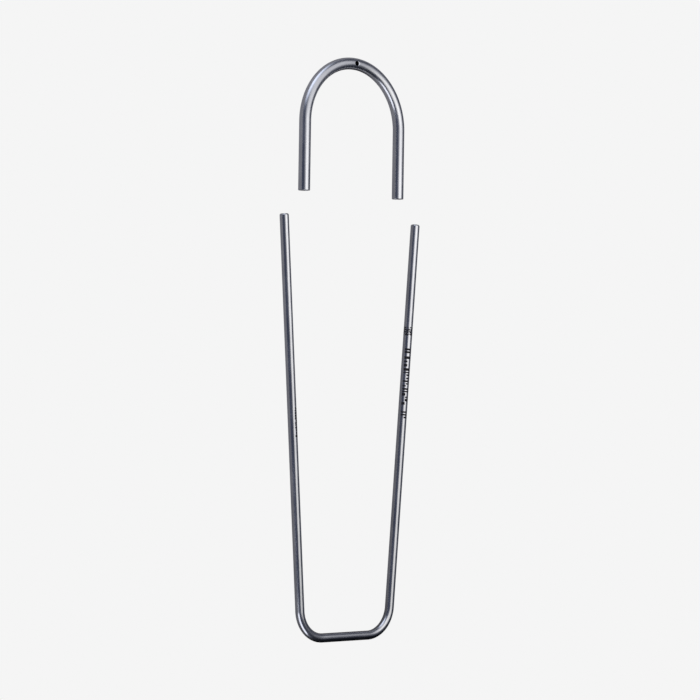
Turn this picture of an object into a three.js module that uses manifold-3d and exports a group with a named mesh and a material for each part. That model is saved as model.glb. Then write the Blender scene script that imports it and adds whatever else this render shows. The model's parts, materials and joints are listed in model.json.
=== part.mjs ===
// Instrument stringer: a springy U-shaped frame bent from one round steel rod, and an arched
// tubular bow that slides over the two rod tips and shuts the frame.
//
// Millimetres. +Y runs from the frame's bottom bar to the crown of the bow, +X to the right leg,
// and +Z is square to the plane that both pieces lie in. z = 0 is the surface they lie on, and
// x = y = 0 is the middle of the whole length. The bow is drawn off the tips, as it is stored open.
import * as THREE from 'three';
import { mergeVertices } from 'three/addons/utils/BufferGeometryUtils.js';
import Module from 'manifold-3d';

// Frame rod
const ROD_R = 2.0;
const BAR_LENGTH = 26.4; // straight stretch of the bottom bar
const CORNER_R = 13.0; // centreline radius of the two bottom corners
const SPLAY = THREE.MathUtils.degToRad(4.15); // each leg leans outward by this when it is free
const LEG_LENGTH = 171.0; // straight stretch from a corner to the tip
const TIP_ROUND = 0.8; // radius of the rounded edge of each tip
const FLEX_GAP = 0.3; // clearance between a leg and the bend that it flexes on

// Closing bow
const TUBE_R = 2.6;
const BORE_R = 2.15;
const ARCH_R = 27.5; // centreline radius of the arch
const BOW_LEG = 30.2; // straight stretch below each side of the arch
const OPEN_GAP = 10.7; // from the rod tips to the bow's open ends
const VENT_R = 1.1; // vent drilled through the front wall of the crown

// Facets: flats lie square to X, Y and Z, and touch the true cylinder from outside
const SIDES = 24;
const CORNER_STEPS = 10;
const ARCH_STEPS = 24;
const TIP_STEPS = 4;
const VENT_SIDES = 16;

// Places along Y, measured from the centreline of the bottom bar
const HINGE_X = BAR_LENGTH / 2 + CORNER_R * Math.cos(SPLAY);
const HINGE_Y = CORNER_R * (1 - Math.sin(SPLAY));
const TIP_Y = HINGE_Y + LEG_LENGTH * Math.cos(SPLAY);
const BOW_END_Y = TIP_Y + OPEN_GAP;
const ARCH_Y = BOW_END_Y + BOW_LEG;
const CROWN_Y = ARCH_Y + ARCH_R;
const MIDDLE_Y = (CROWN_Y + TUBE_R - ROD_R) / 2;

// A flat route made of straight and evenly bent stretches. Each stretch is cut into its own
// number of equal steps, and t counts steps, so that every tangent point is a station.
class BentPath extends THREE.Curve {
  constructor(x, y, heading, stretches) {
    super();
    this.start = { x, y, heading };
    this.stretches = stretches;
    this.steps = stretches.reduce((sum, stretch) => sum + stretch.steps, 0);
  }

  locate(t) {
    let { x, y, heading } = this.start;
    let stepsLeft = t * this.steps;
    for (const { length, turn, steps } of this.stretches) {
      const share = Math.min(stepsLeft / steps, 1);
      const swept = turn * share;
      const chord = turn === 0 ? length * share : (2 * length * Math.sin(swept / 2)) / turn;
      x += chord * Math.cos(heading + swept / 2);
      y += chord * Math.sin(heading + swept / 2);
      heading += swept;
      stepsLeft -= steps * share;
    }
    return { x, y, heading };
  }

  getPoint(t, target = new THREE.Vector3()) {
    const { x, y } = this.locate(t);
    return target.set(x, y, 0);
  }

  getPointAt(u, target) {
    return this.getPoint(u, target);
  }

  getTangentAt(u, target = new THREE.Vector3()) {
    const { heading } = this.locate(u);
    return target.set(Math.cos(heading), Math.sin(heading), 0);
  }
}

const straight = (length) => ({ length, turn: 0, steps: 1 });
const bend = (radius, turn, steps) => ({ length: radius * Math.abs(turn), turn, steps });

// Points of a regular polygon whose flats touch a circle of the given radius
function flatsAround(radius) {
  const corner = radius / Math.cos(Math.PI / SIDES);
  return Array.from({ length: SIDES }, (_, side) => {
    const angle = ((side + 0.5) * 2 * Math.PI) / SIDES;
    return new THREE.Vector2(corner * Math.cos(angle), corner * Math.sin(angle));
  });
}

function sweep(section, path) {
  return new THREE.ExtrudeGeometry(section, { steps: path.steps, extrudePath: path });
}

const wasm = await Module();
wasm.setup();

function toSolid(geometry) {
  const bare = geometry.clone();
  bare.deleteAttribute('normal');
  bare.deleteAttribute('uv');
  const merged = mergeVertices(bare);
  return new wasm.Manifold(new wasm.Mesh({
    numProp: 3,
    vertProperties: new Float32Array(merged.attributes.position.array),
    triVerts: new Uint32Array(merged.index.array),
  }));
}

function toGeometry(solid) {
  const { vertProperties, triVerts } = solid.getMesh();
  const geometry = new THREE.BufferGeometry();
  geometry.setAttribute('position', new THREE.BufferAttribute(vertProperties, 3));
  geometry.setIndex(new THREE.BufferAttribute(triVerts, 1));
  const faceted = geometry.toNonIndexed();
  faceted.computeVertexNormals();
  return faceted;
}

const rodSteel = () => new THREE.MeshStandardMaterial({ color: 0x9a9ca4, roughness: 0.3, metalness: 1 });
const tubeSteel = () => new THREE.MeshStandardMaterial({ color: 0xa6a8b0, roughness: 0.34, metalness: 1 });

// Bottom bar with its two rounded corners, one continuous bend of the rod
function makeBaseBend() {
  const turn = Math.PI / 2 - SPLAY;
  const path = new BentPath(-HINGE_X, HINGE_Y, -turn, [
    bend(CORNER_R, turn, CORNER_STEPS),
    straight(BAR_LENGTH),
    bend(CORNER_R, turn, CORNER_STEPS),
  ]);
  const mesh = new THREE.Mesh(sweep(new THREE.Shape(flatsAround(ROD_R)), path), rodSteel());
  mesh.name = 'base_bend';
  return mesh;
}

// Straight leg with a rounded tip. side is -1 for the left leg and 1 for the right one.
function makeLeg(name, side) {
  const outer = ROD_R / Math.cos(Math.PI / SIDES);
  const profile = [new THREE.Vector2(0, FLEX_GAP), new THREE.Vector2(outer, FLEX_GAP)];
  for (let step = 0; step <= TIP_STEPS; step += 1) {
    const angle = (step * Math.PI) / 2 / TIP_STEPS;
    const x = outer - TIP_ROUND * (1 - Math.cos(angle));
    const y = LEG_LENGTH - TIP_ROUND * (1 - Math.sin(angle));
    profile.push(new THREE.Vector2(x, y));
  }
  profile.push(new THREE.Vector2(0, LEG_LENGTH));
  const mesh = new THREE.Mesh(new THREE.LatheGeometry(profile, SIDES, Math.PI / SIDES), rodSteel());
  mesh.name = name;
  mesh.position.set(side * HINGE_X, HINGE_Y, 0);
  mesh.rotation.z = -side * SPLAY;
  return mesh;
}

// Arched tube, open at both ends, with the vent in the front of its crown
function makeClosingBow() {
  const section = new THREE.Shape(flatsAround(TUBE_R));
  section.holes.push(new THREE.Path(flatsAround(BORE_R)));
  const path = new BentPath(-ARCH_R, BOW_END_Y, Math.PI / 2, [
    straight(BOW_LEG),
    bend(ARCH_R, -Math.PI, ARCH_STEPS),
    straight(BOW_LEG),
  ]);
  const drillLength = 2 * TUBE_R;
  const drill = new THREE.CylinderGeometry(VENT_R, VENT_R, drillLength, VENT_SIDES);
  drill.rotateX(Math.PI / 2);
  drill.translate(0, CROWN_Y, drillLength / 2);
  const vented = toSolid(sweep(section, path)).subtract(toSolid(drill));
  const mesh = new THREE.Mesh(toGeometry(vented), tubeSteel());
  mesh.name = 'closing_bow';
  return mesh;
}

const stringer = new THREE.Group();
stringer.position.set(0, -MIDDLE_Y, TUBE_R);
stringer.add(makeBaseBend(), makeLeg('left_leg', -1), makeLeg('right_leg', 1), makeClosingBow());

export default stringer;
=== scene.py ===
"""Looks of the instrument stringer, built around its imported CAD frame.

Metres, +Z up, +Y from the bottom bar to the crown of the bow. The rod pieces and the bow's tube are
surfaces turned about a flat route: a profile of rings, each at a distance along the route.
"""
import json
import math
import random
from typing import NamedTuple

import bmesh
import bpy
import numpy as np
from mathutils import Matrix, Vector


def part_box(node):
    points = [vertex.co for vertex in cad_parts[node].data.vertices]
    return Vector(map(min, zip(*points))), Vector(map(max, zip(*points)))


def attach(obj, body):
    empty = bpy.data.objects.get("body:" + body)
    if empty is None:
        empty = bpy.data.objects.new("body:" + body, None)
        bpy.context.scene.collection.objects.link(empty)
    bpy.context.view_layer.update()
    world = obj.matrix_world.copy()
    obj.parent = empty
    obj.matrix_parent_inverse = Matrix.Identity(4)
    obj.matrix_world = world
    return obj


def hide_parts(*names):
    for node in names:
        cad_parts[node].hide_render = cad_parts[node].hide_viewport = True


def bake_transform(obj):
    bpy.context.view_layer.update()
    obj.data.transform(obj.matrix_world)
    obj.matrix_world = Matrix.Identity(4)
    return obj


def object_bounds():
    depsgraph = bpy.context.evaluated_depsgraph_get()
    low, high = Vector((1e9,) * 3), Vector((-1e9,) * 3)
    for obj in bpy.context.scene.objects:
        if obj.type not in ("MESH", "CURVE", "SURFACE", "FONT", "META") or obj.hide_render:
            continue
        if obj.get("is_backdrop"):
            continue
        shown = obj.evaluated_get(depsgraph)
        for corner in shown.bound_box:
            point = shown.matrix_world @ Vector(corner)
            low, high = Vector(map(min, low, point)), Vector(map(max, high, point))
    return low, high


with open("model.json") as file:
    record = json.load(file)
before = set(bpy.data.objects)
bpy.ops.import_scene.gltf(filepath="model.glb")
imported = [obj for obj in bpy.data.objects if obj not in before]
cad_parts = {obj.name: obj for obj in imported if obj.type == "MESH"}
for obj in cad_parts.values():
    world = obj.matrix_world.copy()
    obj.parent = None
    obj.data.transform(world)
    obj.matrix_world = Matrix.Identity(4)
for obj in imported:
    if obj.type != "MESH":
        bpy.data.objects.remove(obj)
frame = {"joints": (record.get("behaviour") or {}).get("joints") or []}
CAD_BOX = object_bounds()

MM = 0.001

# Sizes that the frame's boxes and joints give
BEND_LOW, BEND_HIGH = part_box("base_bend")
BOW_LOW, BOW_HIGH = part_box("closing_bow")
HINGES = {joint["child"]: joint["pos_m"] for joint in frame["joints"] if joint["type"] == "hinge"}
HINGE_X, HINGE_Y, AXIS_Z = HINGES["right_leg"]
ROD_R = (BEND_HIGH.z - BEND_LOW.z) / 2
TUBE_R = (BOW_HIGH.z - BOW_LOW.z) / 2
ARCH_R = BOW_HIGH.x - TUBE_R
BAR_Y = BEND_LOW.y + ROD_R
CROWN_Y = BOW_HIGH.y - TUBE_R
BOW_END_Y = BOW_LOW.y

# Sizes that no box shows
SPLAY = math.radians(4.15)
LEG_LENGTH = 171 * MM
BORE_R = 2.15 * MM
TIP_ROUND = 0.75 * MM  # rounded edge of a rod tip
LIP_ROUND = 0.16 * MM  # broken edge of the tube's ends, half the wall at most
VENT_R = 1.1 * MM
VENT_FLARE = 0.35 * MM  # the broken edge of the vent widens it by this
VENT_FLARE_DEPTH = 0.2 * MM

# Sizes worked out from these
ARCH_Y = CROWN_Y - ARCH_R
BOW_LEG = ARCH_Y - BOW_END_Y
CORNER_R = (HINGE_Y - BAR_Y) / (1 - math.sin(SPLAY))
CORNER_TURN = math.pi / 2 - SPLAY
CORNER_LENGTH = CORNER_R * CORNER_TURN
BAR_LENGTH = 2 * (HINGE_X - CORNER_R * math.cos(SPLAY))

# Fineness of the meshes
SIDES = 96
VENT_SIDES = 64
ROW = 1.0 * MM  # length of a mesh row on a straight stretch
ARCH_ROW = 0.8 * MM
CORNER_ROW = 0.4 * MM
SAME_RING = 1e-6 * MM  # rings closer than this are one ring
SAME_ROW = 1e-4 * MM
WELD = 0.003 * MM  # points that the cut leaves closer than this become one
ON_WALL = 0.01 * MM  # a point this near to a wall's radius lies on that wall


# ---------------------------------------------------------------- routes and profiles

class Route:
    """A flat line of straight and evenly bent stretches, followed by distance."""

    def __init__(self, x, y, heading, stretches):
        self.start = (x, y, heading)
        self.stretches = stretches
        self.length = sum(length for length, _ in stretches)

    def at(self, distance):
        """(x, y, heading) at that distance along the line."""
        x, y, heading = self.start
        for length, turn in self.stretches:
            run = min(distance, length)
            distance -= run
            half_turn = turn * run / length / 2
            chord = run * math.sin(half_turn) / half_turn if half_turn else run
            x += chord * math.cos(heading + half_turn)
            y += chord * math.sin(heading + half_turn)
            heading += 2 * half_turn
        return x, y, heading


class Ring(NamedTuple):
    """A ring of a profile, and the shares of its surface's normal along the route and outward."""

    distance: float
    radius: float
    along: float
    outward: float


def evenly(start, end, step):
    """Evenly spaced numbers from start to end, at most step apart."""
    count = max(1, math.ceil(abs(end - start) / step - 1e-6))
    return [start + (end - start) * i / count for i in range(count + 1)]


def wall(distances, radius, facing):
    """Rings of one radius. facing is 1 for an outer wall and -1 for a bore."""
    return [Ring(distance, radius, 0, facing) for distance in distances]


def face(distance, radii, facing):
    """Rings of a flat end face. facing is 1 where it faces forward along the route."""
    return [Ring(distance, radius, facing, 0) for radius in radii]


def round_edge(distance, radius, edge, start, end, steps=8):
    """Rings of a rounded edge, edge wide, about a centre at that distance and radius.

    start and end are angles in degrees, from the route's direction (0) to outward (90).
    """
    rings = []
    for i in range(steps + 1):
        angle = math.radians(start + (end - start) * i / steps)
        along, outward = math.cos(angle), math.sin(angle)
        rings.append(Ring(distance + edge * along, radius + edge * outward, along, outward))
    return rings


def join_parts(parts, closed):
    """The profile's rings in order, and its bands: (number of the first ring, ring, next ring)."""
    rings, bands = [], []
    for part in parts:
        for ring, following in zip(part, part[1:]):
            if not rings or math.dist(rings[-1][:2], ring[:2]) > SAME_RING:
                rings.append(ring)
            bands.append((len(rings) - 1, ring, following))
            rings.append(following)
    if closed:
        rings.pop()
    return rings, bands


def ring_points(route, ring):
    """The points of a ring, or its middle alone where it has no radius."""
    x, y, heading = route.at(ring.distance)
    points = []
    for column in range(SIDES if ring.radius else 1):
        angle = 2 * math.pi * column / SIDES
        side, up = ring.radius * math.cos(angle), ring.radius * math.sin(angle)
        points.append((x - side * math.sin(heading), y + side * math.cos(heading), AXIS_Z + up))
    return points


def normal_at(route, ring, column):
    """The surface's normal at a corner of a face."""
    heading = route.at(ring.distance)[2]
    angle = 2 * math.pi * column / SIDES
    side = ring.outward * math.cos(angle)
    return (ring.along * math.cos(heading) - side * math.sin(heading),
            ring.along * math.sin(heading) + side * math.cos(heading),
            ring.outward * math.sin(angle))


def grain_at(ring, face_column, column, start, way):
    """Millimetres along and around, at a corner of a face. Their seam runs along the underside."""
    along = start + way * (ring.distance + abs(ring.along) * ring.radius)
    share_round = ((face_column + SIDES // 4) % SIDES + column - face_column) / SIDES
    if way < 0:
        share_round = 1 - share_round
    return along / MM, 2 * math.pi * ROD_R * share_round / MM


def turned_mesh(name, route, parts, closed=False, dark=None, grain_start=0, grain_way=1):
    """A mesh turned about the route from parts of its profile. Parts meet in a sharp edge.

    dark(distance, column) says which faces take the second material slot. The grain's coordinates
    run on from grain_start, and backwards where grain_way is -1.
    """
    rings, bands = join_parts(parts, closed)
    vertices, first = [], []
    for ring in rings:
        first.append(len(vertices))
        vertices += ring_points(route, ring)
    faces, normals, grain, slots = [], [], [], []
    for number, ring, following in bands:
        after = (number + 1) % len(rings)
        for k in range(SIDES):
            corners = [(number, ring, k), (number, ring, k + 1)]
            corners += [(after, following, k + 1), (after, following, k)]
            if following.radius == 0:
                corners.pop(2)
            if ring.radius == 0:
                corners.pop(1)
            faces.append([first[i] + (column % SIDES if at.radius else 0) for i, at, column in corners])
            normals += [normal_at(route, at, column) for _, at, column in corners]
            grain += [grain_at(at, k, column, grain_start, grain_way) for _, at, column in corners]
            slots.append(1 if dark and dark((ring.distance + following.distance) / 2, k) else 0)
    mesh = bpy.data.meshes.new(name)
    mesh.from_pydata(vertices, [], faces)
    uv = mesh.uv_layers.new(name="along")
    uv.data.foreach_set("uv", np.array(grain, np.float32).ravel())
    mesh.polygons.foreach_set("material_index", np.array(slots, np.int32))
    mesh.normals_split_custom_set(normals)
    piece = bpy.data.objects.new(name, mesh)
    bpy.context.scene.collection.objects.link(piece)
    return piece


# ---------------------------------------------------------------- shader nodes

def link(tree, start, end):
    tree.links.new(start, end)


def add_node(tree, kind, inputs=(), **settings):
    """A node with its settings. Each input is a constant or the socket that feeds it."""
    node = tree.nodes.new(kind)
    for key, value in settings.items():
        setattr(node, key, value)
    for key, value in dict(inputs).items():
        if isinstance(value, bpy.types.NodeSocket):
            link(tree, value, node.inputs[key])
        else:
            node.inputs[key].default_value = value
    return node


def calculate(tree, operation, *numbers):
    """The result of one sum. Numbers are constants or sockets."""
    inputs = dict(enumerate(numbers))
    return add_node(tree, "ShaderNodeMath", inputs, operation=operation).outputs[0]


def map_range(tree, value, low, high, to_low=0, to_high=1, course="LINEAR"):
    """value, spread from low..high to to_low..to_high, and held at both ends."""
    inputs = dict(enumerate((value, low, high, to_low, to_high)))
    return add_node(tree, "ShaderNodeMapRange", inputs, interpolation_type=course).outputs[0]


def mix_colours(tree, share, low, high, clamp=True):
    """The colour low where share is 0, and high where it is 1. Colours are tuples or sockets."""
    low, high = (c if isinstance(c, bpy.types.NodeSocket) else (*c, 1) for c in (low, high))
    inputs = {0: share, 6: low, 7: high}
    return add_node(tree, "ShaderNodeMix", inputs, data_type="RGBA", clamp_factor=clamp).outputs[2]


# ---------------------------------------------------------------- materials

def stretched_noise(tree, along, around):
    """Noise on the turned surface, with that many features per millimetre along and around."""
    uv = add_node(tree, "ShaderNodeUVMap", uv_map="along").outputs["UV"]
    grid = add_node(tree, "ShaderNodeMapping", {"Vector": uv, "Scale": (along, around, 1)})
    inputs = {"Vector": grid.outputs[0], "Scale": 1, "Detail": 3, "Roughness": 0.6}
    return add_node(tree, "ShaderNodeTexNoise", inputs, noise_dimensions="2D").outputs["Fac"]


def new_material(name, metallic):
    material = bpy.data.materials.new(name)
    material.use_nodes = True
    shader = material.node_tree.nodes["Principled BSDF"]
    shader.inputs["Metallic"].default_value = metallic
    return material, material.node_tree, shader


def satin_steel(name, pale, deep, smooth, rough):
    """Rod or tube drawn through a die, then satin polished: fine lines along it and soft clouds."""
    material, tree, shader = new_material(name, metallic=1)
    lines = stretched_noise(tree, along=0.05, around=7)
    clouds = stretched_noise(tree, along=0.09, around=0.3)
    tone = map_range(tree, clouds, 0.35, 0.65)
    link(tree, mix_colours(tree, tone, deep, pale), shader.inputs["Base Color"])
    wear = calculate(tree, "ADD", lines, clouds)
    link(tree, map_range(tree, wear, 0.8, 1.2, smooth, rough), shader.inputs["Roughness"])
    bump = add_node(tree, "ShaderNodeBump", {"Height": lines, "Strength": 0.04, "Distance": 0.01 * MM})
    link(tree, bump.outputs[0], shader.inputs["Normal"])
    return material


def laser_mark():
    """Dark oxide that the marking laser leaves, a little uneven."""
    material, tree, shader = new_material("laser_oxide", metallic=0)
    grain = stretched_noise(tree, along=3, around=3)
    colour = add_node(tree, "ShaderNodeValToRGB", {"Fac": grain})
    colour.color_ramp.elements[0].color = (0.006, 0.006, 0.008, 1)
    colour.color_ramp.elements[1].color = (0.03, 0.028, 0.03, 1)
    link(tree, colour.outputs[0], shader.inputs["Base Color"])
    link(tree, map_range(tree, grain, 0.3, 0.7, 0.6, 0.75), shader.inputs["Roughness"])
    shader.inputs["Specular IOR Level"].default_value = 0.2
    return material


def cut_metal():
    """Bare metal of the drilled and deburred vent."""
    material, tree, shader = new_material("cut_metal", metallic=1)
    shader.inputs["Base Color"].default_value = (0.85, 0.85, 0.86, 1)
    grain = stretched_noise(tree, along=8, around=8)
    link(tree, map_range(tree, grain, 0.3, 0.7, 0.35, 0.55), shader.inputs["Roughness"])
    return material


def bore_metal():
    """Unpolished inside of the tube, dull and much darker than the outside steel."""
    material, tree, shader = new_material("bore_metal", metallic=1)
    bore_mottle = stretched_noise(tree, along=0.4, around=3)
    # Dark colour over the whole bore, mottled by the same noise
    tone = map_range(tree, bore_mottle, 0.35, 0.65)
    link(tree, mix_colours(tree, tone, (0.09, 0.09, 0.1), (0.2, 0.2, 0.21)), shader.inputs["Base Color"])
    link(tree, map_range(tree, bore_mottle, 0.3, 0.7, 0.6, 0.45), shader.inputs["Roughness"])
    return material


# ---------------------------------------------------------------- the frame's rod

def make_bend():
    """Bottom bar with its two corners, from one hinge point to the other."""
    stretches = [(CORNER_LENGTH, CORNER_TURN), (BAR_LENGTH, 0), (CORNER_LENGTH, CORNER_TURN)]
    route = Route(-HINGE_X, HINGE_Y, -CORNER_TURN, stretches)
    bar_end = CORNER_LENGTH + BAR_LENGTH
    rows = evenly(0, CORNER_LENGTH, CORNER_ROW)
    rows += evenly(CORNER_LENGTH, bar_end, ROW)[1:]
    rows += evenly(bar_end, route.length, CORNER_ROW)[1:]
    parts = [
        face(0, (0, ROD_R), -1),
        wall(rows, ROD_R, 1),
        face(route.length, (ROD_R, 0), 1),
    ]
    return turned_mesh("rod_bend", route, parts)


def make_leg(name, side, marks):
    """Leg from its hinge point to its rounded tip. side is -1 for the left leg and 1 for the right.

    Its grain runs on from the bend's: back from the start on the left, on from the end on the right.
    """
    route = Route(side * HINGE_X, HINGE_Y, math.pi / 2 - side * SPLAY, [(LEG_LENGTH, 0)])
    places = evenly(0, LEG_LENGTH - TIP_ROUND, ROW)
    for start, end, _, _ in marks:
        places += [start, end]
    rows = []
    for place in sorted(places):
        if not rows or place - rows[-1] > SAME_ROW:
            rows.append(place)
    flat = ROD_R - TIP_ROUND
    parts = [
        face(0, (0, ROD_R), -1),
        wall(rows, ROD_R, 1),
        round_edge(LEG_LENGTH - TIP_ROUND, flat, TIP_ROUND, 90, 0),
        face(LEG_LENGTH, (flat, flat / 2, 0), 1),
    ]

    def dark(distance, column):
        return any(start < distance < end and (column - low) % SIDES < high - low
                   for start, end, low, high in marks)

    grain_start = 0 if side < 0 else 2 * CORNER_LENGTH + BAR_LENGTH
    return turned_mesh(name, route, parts, dark=dark, grain_start=grain_start, grain_way=side)


# ---------------------------------------------------------------- laser marks

# A mark is a dark cell on a leg: (start, end, low, high). It reaches from start to end along the leg,
# and from column low to column high around it. Columns run from the leg's -X side (0) over the top
# (24) to its +X side (48).
CELL_COLUMNS = 3
CELL_CHANCE = 0.62  # how likely a cell of a block is to be dark


def code_block(start, cell, rows, low, high, chance):
    """A block of small cells from column low to column high, dark or bare at random."""
    marks = []
    for row in range(rows):
        for column in range(low, high, CELL_COLUMNS):
            if chance.random() < CELL_CHANCE:
                place = start + row * cell
                marks.append((place, place + cell, column, column + CELL_COLUMNS))
    return marks


def bar_row(start, end, widths, gaps, spans, chance):
    """Bars across the leg. Each one's width, its columns and the gap after it are picked at random."""
    marks = []
    place = start
    while place < end:
        width = chance.choice(widths)
        marks.append((place, place + width, *chance.choice(spans)))
        place += width + chance.choice(gaps)
    return marks


def right_marks():
    """A block of cells, a short band, a long row of bars and a short row, from tip to bar."""
    chance = random.Random(11)
    full, inner, outer = (6, 29), (6, 18), (17, 29)
    marks = code_block(120.9 * MM, 0.27 * MM, rows=14, low=-9, high=36, chance=chance)
    marks += bar_row(112.9 * MM, 115 * MM, [0.9 * MM], [0.35 * MM], [full], chance)
    widths = [0.6 * MM, 0.8 * MM, 1.2 * MM]
    gaps = [0.35 * MM, 0.45 * MM, 0.7 * MM]
    marks += bar_row(89.8 * MM, 111 * MM, widths, gaps, [full, full, inner, outer], chance)
    marks += bar_row(83.8 * MM, 87.4 * MM, [0.7 * MM], [0.5 * MM], [full, outer], chance)
    return marks


def left_marks():
    """One row of close bars, turned towards the inside of the frame."""
    chance = random.Random(5)
    widths = [0.5 * MM, 0.7 * MM, 0.9 * MM]
    gaps = [0.25 * MM, 0.35 * MM, 0.5 * MM]
    full, short = (22, 40), (25, 38)
    return bar_row(75 * MM, 88 * MM, widths, gaps, [full, full, short], chance)


# ---------------------------------------------------------------- the bow

def make_bow():
    """Arched tube with its bore and broken edges, before the vent is drilled."""
    stretches = [(BOW_LEG, 0), (math.pi * ARCH_R, -math.pi), (BOW_LEG, 0)]
    route = Route(-ARCH_R, BOW_END_Y, math.pi / 2, stretches)
    end = route.length
    rows = evenly(LIP_ROUND, BOW_LEG, ROW)
    rows += evenly(BOW_LEG, end - BOW_LEG, ARCH_ROW)[1:]
    rows += evenly(end - BOW_LEG, end - LIP_ROUND, ROW)[1:]
    outer, inner = TUBE_R - LIP_ROUND, BORE_R + LIP_ROUND
    parts = [
        wall(rows, TUBE_R, 1),
        round_edge(end - LIP_ROUND, outer, LIP_ROUND, 90, 0, 4),
        face(end, (outer, inner), 1),
        round_edge(end - LIP_ROUND, inner, LIP_ROUND, 0, -90, 4),
        wall(rows[::-1], BORE_R, -1),
        round_edge(LIP_ROUND, inner, LIP_ROUND, -90, -180, 4),
        face(0, (inner, outer), -1),
        round_edge(LIP_ROUND, outer, LIP_ROUND, -180, -270, 4),
    ]
    return turned_mesh("bow_tube", route, parts, closed=True)


def make_drill():
    """The drill that cuts the vent: its tip stays in the bore, and a cone breaks the edge."""
    top = AXIS_Z + TUBE_R
    rings = [
        (AXIS_Z, VENT_R),
        (top - VENT_FLARE_DEPTH, VENT_R),
        (top + VENT_FLARE_DEPTH, VENT_R + 2 * VENT_FLARE),
    ]
    vertices = []
    for z, r in rings:
        for k in range(VENT_SIDES):
            angle = 2 * math.pi * k / VENT_SIDES
            vertices.append((r * math.cos(angle), CROWN_Y + r * math.sin(angle), z))
    last = len(vertices) - VENT_SIDES
    faces = [tuple(range(VENT_SIDES))[::-1], tuple(range(last, len(vertices)))]
    for low in range(0, last, VENT_SIDES):
        high = low + VENT_SIDES
        for k in range(VENT_SIDES):
            after = (k + 1) % VENT_SIDES
            faces.append((low + k, low + after, high + after, high + k))
    mesh = bpy.data.meshes.new("drill")
    mesh.from_pydata(vertices, [], faces)
    drill = bpy.data.objects.new("drill", mesh)
    bpy.context.scene.collection.objects.link(drill)
    return drill


def drill_vent(bow):
    """Cuts the vent into the bow's mesh."""
    drill = make_drill()
    cut = bow.modifiers.new("vent", "BOOLEAN")
    cut.operation = "DIFFERENCE"
    cut.object = drill
    cut.solver = "EXACT"
    evaluated = bow.evaluated_get(bpy.context.evaluated_depsgraph_get())
    mesh = bpy.data.meshes.new_from_object(evaluated)
    welded = bmesh.new()
    welded.from_mesh(mesh)
    bmesh.ops.remove_doubles(welded, verts=welded.verts, dist=WELD)
    welded.to_mesh(mesh)
    welded.free()
    bow.modifiers.clear()
    bow.data = mesh
    bpy.data.objects.remove(drill)


def bow_radial(point):
    """(distance from the tube's axis, unit vector away from it) at a point of the bow."""
    if point.y < ARCH_Y:
        axis = Vector((math.copysign(ARCH_R, point.x), point.y, AXIS_Z))
    else:
        outward = Vector((point.x, point.y - ARCH_Y, 0)).normalized()
        axis = Vector((0, ARCH_Y, AXIS_Z)) + outward * ARCH_R
    away = point - axis
    return away.length, away.normalized()


def finish_vent(bow):
    """Sets true normals on the tube's walls, and slots: 1 on the cut, 2 on the bore, 0 elsewhere."""
    mesh = bow.data
    mesh.shade_smooth()
    mesh.set_sharp_from_angle(angle=math.radians(25))
    normals = [(0, 0, 0)] * len(mesh.loops)
    for polygon in mesh.polygons:
        spots = [bow_radial(mesh.vertices[i].co) for i in polygon.vertices]
        outer = all(abs(distance - TUBE_R) < ON_WALL for distance, _ in spots)
        bore = all(abs(distance - BORE_R) < ON_WALL for distance, _ in spots)
        facing = polygon.normal.dot(spots[0][1])
        polygon.material_index = 0
        if outer and facing > 0.9:
            for loop, (_, away) in zip(polygon.loop_indices, spots):
                normals[loop] = away
        elif bore and facing < -0.9:
            polygon.material_index = 2
            for loop, (_, away) in zip(polygon.loop_indices, spots):
                normals[loop] = -away
        elif math.hypot(polygon.center.x, polygon.center.y - CROWN_Y) < VENT_R + 2 * VENT_FLARE:
            polygon.material_index = 1
    mesh.normals_split_custom_set(normals)


# ---------------------------------------------------------------- studio

# Ways are pairs of azimuth and elevation in degrees. Azimuth runs from +X towards +Y.

SHOWN = (0.913, 0.913, 0.913)  # floor and backdrop, as the camera sees them

# The floor as the steel sees it, a painted reflection. Two slopes of painted light across it, and two
# patches of painted shade, scale its colour.
FLOOR_HALF = 5
FLOOR_IN_STEEL = (0.27, 0.272, 0.31)
SLOPE_REACH = 0.3  # both slopes run from this far on one side of the middle to the other
SLOPE_ACROSS = (1.4, 0.13)  # from left to right
SLOPE_ALONG = (0.54, 1.6)  # from the bar's side to the crown's

# Painted shadow on the floor before the bar, seen in the steel: it sets in from left to right, and from
# behind the bar to before it
BAR_PAINTED_SHADE = 0.97
BAR_PAINTED_SHADE_X = (-35 * MM, -15 * MM)
BAR_PAINTED_SHADE_Y = (BAR_Y + 20 * MM, BAR_Y - 8 * MM)

# Painted shadow, a round patch on the floor under the crown, full within the first radius and gone
# beyond the second
CROWN_PAINTED_SHADE = 0.85
CROWN_PAINTED_SHADE_PLACE = (2 * MM, CROWN_Y - 5 * MM, 0)
CROWN_PAINTED_SHADE_REACH = (4 * MM, 16 * MM)

# Black card with a soft rim, low beyond the bar's right end: a painted dark reflection in the steel
CARD_BLACK = (0.006, 0.007, 0.011)
CARD_WAY = (-48, 14)  # from the middle of the bar
CARD_DISTANCE = 0.15
CARD_HALF = 1.2 * CARD_DISTANCE
CARD_CORE = 0.3 * CARD_HALF  # solid black within this radius

ROOM_BLUE = (0.063, 0.074, 0.121)
ROOM_GREY = (0.08, 0.088, 0.12)
ROOM_GREY_WAY = (0, 11.31)
ROOM_DIM = (0.032, 0.036, 0.05)
ROOM_DIM_WAY = (-48, 5.15)

CAMERA_TURNS = (("Z", -0.867), ("X", -1.607), ("Y", 41.72))  # degrees
CAMERA_AIM = (0.44 * MM, -0.61 * MM, AXIS_Z)
CAMERA_DISTANCE = 1.0885
SENSOR_WIDTH = 36
FOCAL_LENGTH = 3.54857 * SENSOR_WIDTH


def unit_way(azimuth, elevation):
    """Unit vector of a way."""
    azimuth, elevation = math.radians(azimuth), math.radians(elevation)
    flat = math.cos(elevation)
    return Vector((flat * math.cos(azimuth), flat * math.sin(azimuth), math.sin(elevation)))


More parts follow.
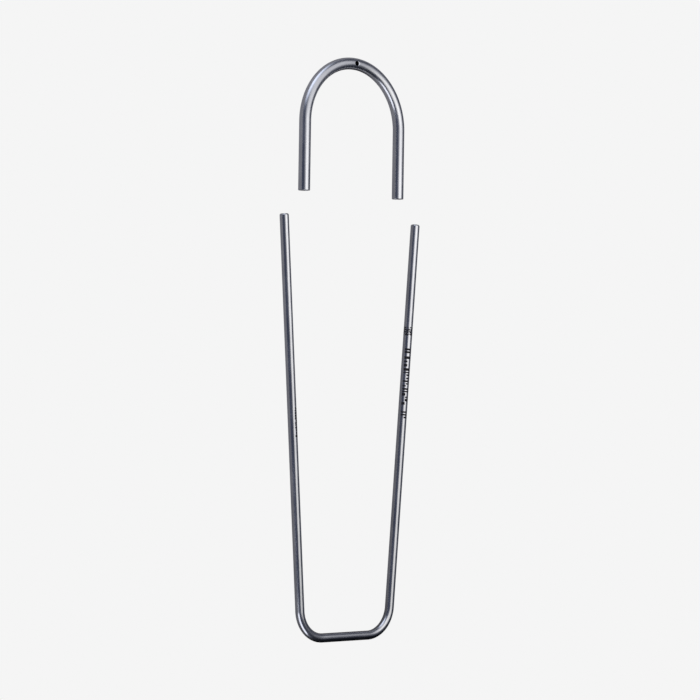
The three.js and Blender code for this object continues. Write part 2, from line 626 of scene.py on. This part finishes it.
def softbox(name, centre, aim, size, edge, radiance, colour):
    """A lit panel that shows in reflections and not to the camera.

    It fades towards its rim. edge is the faded share of the way from its middle to its rim.
    """
    lamp = bpy.data.lights.new(name, "AREA")
    lamp.shape = "RECTANGLE"
    lamp.size, lamp.size_y = size
    lamp.energy = math.pi * size[0] * size[1]  # by area, so that radiance alone sets its brightness
    lamp.use_nodes = True
    tree = lamp.node_tree
    tree.nodes.clear()
    spot = add_node(tree, "ShaderNodeNewGeometry").outputs["Parametric"]
    place = add_node(tree, "ShaderNodeSeparateXYZ", {0: spot}).outputs
    level = radiance
    for axis in "XY":
        off_centre = calculate(tree, "ABSOLUTE", map_range(tree, place[axis], 0, 1, -1, 1))
        fade = map_range(tree, off_centre, 1, 1 - edge, course="SMOOTHSTEP")
        level = calculate(tree, "MULTIPLY", fade, level)
    glow = add_node(tree, "ShaderNodeEmission", {"Color": (*colour, 1), "Strength": level})
    link(tree, glow.outputs[0], add_node(tree, "ShaderNodeOutputLight").inputs["Surface"])
    panel = bpy.data.objects.new(name, lamp)
    panel.location = centre
    panel.rotation_euler = (Vector(aim) - Vector(centre)).to_track_quat("-Z", "Y").to_euler()
    panel.visible_camera = False
    bpy.context.scene.collection.objects.link(panel)


def make_lights():
    """Two panels overhead, one beyond the crown, and one low, left of the bar and before it."""
    softbox("key", centre=(0.096, 0.328, 0.39), aim=(0.096, 0.328, 0), size=(1.04, 0.96),
            edge=0.75, radiance=0.8, colour=(0.95, 0.95, 1))
    softbox("key_core", centre=(0.07, -0.017, 0.388), aim=(0.07, -0.017, 0), size=(0.46, 0.426),
            edge=0.43, radiance=0.97, colour=(1, 0.99, 0.97))
    beyond_crown = Vector((0, 0, AXIS_Z)) + 0.7 * unit_way(112, 6)
    softbox("upper_window", centre=beyond_crown, aim=(0, 0, 0), size=(1.1, 1.04),
            edge=0.87, radiance=1.85, colour=(0.77, 0.83, 1))
    softbox("lower_window", centre=(-0.36, -0.48, 0.168), aim=(0, 0, 0.168), size=(0.8, 0.42),
            edge=0.3, radiance=1.8, colour=(0.88, 0.905, 1))


def make_square(name, half):
    """A level square, and its material's node tree, still empty."""
    corners = [(-half, -half, 0), (half, -half, 0), (half, half, 0), (-half, half, 0)]
    mesh = bpy.data.meshes.new(name)
    mesh.from_pydata(corners, [], [(0, 1, 2, 3)])
    material = bpy.data.materials.new(name)
    material.use_nodes = True
    material.node_tree.nodes.clear()
    mesh.materials.append(material)
    square = bpy.data.objects.new(name, mesh)
    bpy.context.scene.collection.objects.link(square)
    return square, material.node_tree


def make_floor():
    """Plain pale floor, which the steel sees as a painted grey sweep: slopes of painted light and
    patches of painted shade.
    """
    floor, tree = make_square("floor", FLOOR_HALF)
    spread = add_node(tree, "ShaderNodeTexCoord").outputs["Object"]
    place = add_node(tree, "ShaderNodeSeparateXYZ", {0: spread}).outputs
    # Two slopes of painted light, brighter to the left and towards the crown
    across = map_range(tree, place["X"], -SLOPE_REACH, SLOPE_REACH, *SLOPE_ACROSS)
    along = map_range(tree, place["Y"], -SLOPE_REACH, SLOPE_REACH, *SLOPE_ALONG)
    level = calculate(tree, "MULTIPLY", across, along)
    # Painted shadow on the floor before the bar
    rightward = map_range(tree, place["X"], *BAR_PAINTED_SHADE_X)
    forward = map_range(tree, place["Y"], *BAR_PAINTED_SHADE_Y, 0, BAR_PAINTED_SHADE)
    bar_painted_shade = calculate(tree, "MULTIPLY", rightward, forward)
    # Painted shadow, round, on the floor under the crown
    spot = {0: spread, 1: CROWN_PAINTED_SHADE_PLACE}
    reach = add_node(tree, "ShaderNodeVectorMath", spot, operation="DISTANCE").outputs["Value"]
    crown_painted_shade = map_range(tree, reach, *CROWN_PAINTED_SHADE_REACH, CROWN_PAINTED_SHADE, 0)
    # Each patch of painted shade darkens the sweep
    for painted_shade in (bar_painted_shade, crown_painted_shade):
        level = calculate(tree, "MULTIPLY", level, calculate(tree, "SUBTRACT", 1, painted_shade))
    sweep = mix_colours(tree, level, (0, 0, 0), FLOOR_IN_STEEL, clamp=False)
    # The camera sees the even pale floor; other rays see the painted sweep
    seen = add_node(tree, "ShaderNodeLightPath").outputs["Is Camera Ray"]
    glow = add_node(tree, "ShaderNodeEmission", {"Color": mix_colours(tree, seen, sweep, SHOWN)})
    link(tree, glow.outputs[0], add_node(tree, "ShaderNodeOutputMaterial").inputs["Surface"])
    floor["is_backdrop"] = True


def make_flag():
    """The black card, a painted dark reflection. Only reflections show it."""
    flag, tree = make_square("flag", CARD_HALF)
    way = unit_way(*CARD_WAY)
    flag.location = Vector((0, BAR_Y, AXIS_Z)) + way * CARD_DISTANCE
    flag.rotation_euler = way.to_track_quat("Z", "Y").to_euler()
    flag.visible_camera = False
    flag.visible_shadow = False
    place = add_node(tree, "ShaderNodeTexCoord").outputs["Object"]
    reach = add_node(tree, "ShaderNodeVectorMath", {0: place}, operation="LENGTH").outputs["Value"]
    share = map_range(tree, reach, CARD_HALF, CARD_CORE, course="SMOOTHSTEP")
    clear = add_node(tree, "ShaderNodeBsdfTransparent").outputs[0]
    # Painted dark reflection, black where the card is solid
    black = add_node(tree, "ShaderNodeEmission", {"Color": (*CARD_BLACK, 1)}).outputs[0]
    card = add_node(tree, "ShaderNodeMixShader", {0: share, 1: clear, 2: black})
    link(tree, card.outputs[0], add_node(tree, "ShaderNodeOutputMaterial").inputs["Surface"])
    flag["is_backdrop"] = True


def make_world():
    """Dim bluish room, greyer to the right, and darker low down beyond the bar's right end."""
    world = bpy.data.worlds.new("studio")
    bpy.context.scene.world = world
    world.use_nodes = True
    tree = world.node_tree
    look = add_node(tree, "ShaderNodeTexCoord").outputs["Generated"]

    def toward(way, inner, outer):
        """1 within inner degrees of a way, falling to 0 at outer degrees."""
        inputs = {0: look, 1: unit_way(*way)}
        dot = add_node(tree, "ShaderNodeVectorMath", inputs, operation="DOT_PRODUCT").outputs["Value"]
        low, high = math.cos(math.radians(outer)), math.cos(math.radians(inner))
        return map_range(tree, dot, low, high, course="SMOOTHSTEP")

    colour = mix_colours(tree, toward(ROOM_GREY_WAY, 60, 150), ROOM_BLUE, ROOM_GREY)
    colour = mix_colours(tree, toward(ROOM_DIM_WAY, 15, 40), colour, ROOM_DIM)
    seen = add_node(tree, "ShaderNodeLightPath").outputs["Is Camera Ray"]
    colour = mix_colours(tree, seen, colour, SHOWN)
    link(tree, colour, tree.nodes["Background"].inputs["Color"])


def make_camera():
    """The object seen from its left, about 48 degrees up, with +Y upright in the picture."""
    orientation = Matrix.Identity(3)
    for axis, degrees in CAMERA_TURNS:
        orientation = orientation @ Matrix.Rotation(math.radians(degrees), 3, axis)
    facing = orientation.transposed()
    place = Vector(CAMERA_AIM) + facing @ Vector((0, 0, CAMERA_DISTANCE))
    data = bpy.data.cameras.new("camera")
    data.sensor_width = SENSOR_WIDTH
    data.lens = FOCAL_LENGTH
    camera = bpy.data.objects.new("camera", data)
    camera.matrix_world = Matrix.Translation(place) @ facing.to_4x4()
    bpy.context.scene.collection.objects.link(camera)
    bpy.context.scene.camera = camera


# ---------------------------------------------------------------- assembly

ROD_STEEL = satin_steel("rod_satin_steel", pale=(0.61, 0.612, 0.615), deep=(0.53, 0.532, 0.54),
                        smooth=0.15, rough=0.24)
TUBE_STEEL = satin_steel("tube_satin_steel", pale=(0.65, 0.653, 0.655), deep=(0.57, 0.573, 0.58),
                         smooth=0.18, rough=0.28)
OXIDE = laser_mark()
CUT = cut_metal()
BORE = bore_metal()

bend = make_bend()
bend.data.materials.append(ROD_STEEL)
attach(bend, "frame")
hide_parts("base_bend")

for name, side, marks in (("left_leg", -1, left_marks()), ("right_leg", 1, right_marks())):
    leg = make_leg("rod_" + name, side, marks)
    leg.data.materials.append(ROD_STEEL)
    leg.data.materials.append(OXIDE)
    hinge = Vector(HINGES[name])
    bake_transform(leg)
    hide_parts(name)

bow = make_bow()
drill_vent(bow)
finish_vent(bow)
for material in (TUBE_STEEL, CUT, BORE):
    bow.data.materials.append(material)
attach(bow, "closing_bow")
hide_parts("closing_bow")

make_floor()
make_flag()
make_world()
make_lights()
make_camera()
bpy.context.scene.view_settings.view_transform = "Standard"

sizes = {"cad": CAD_BOX, "visual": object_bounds()}
{key: [list(corner) for corner in box] for key, box in sizes.items()}
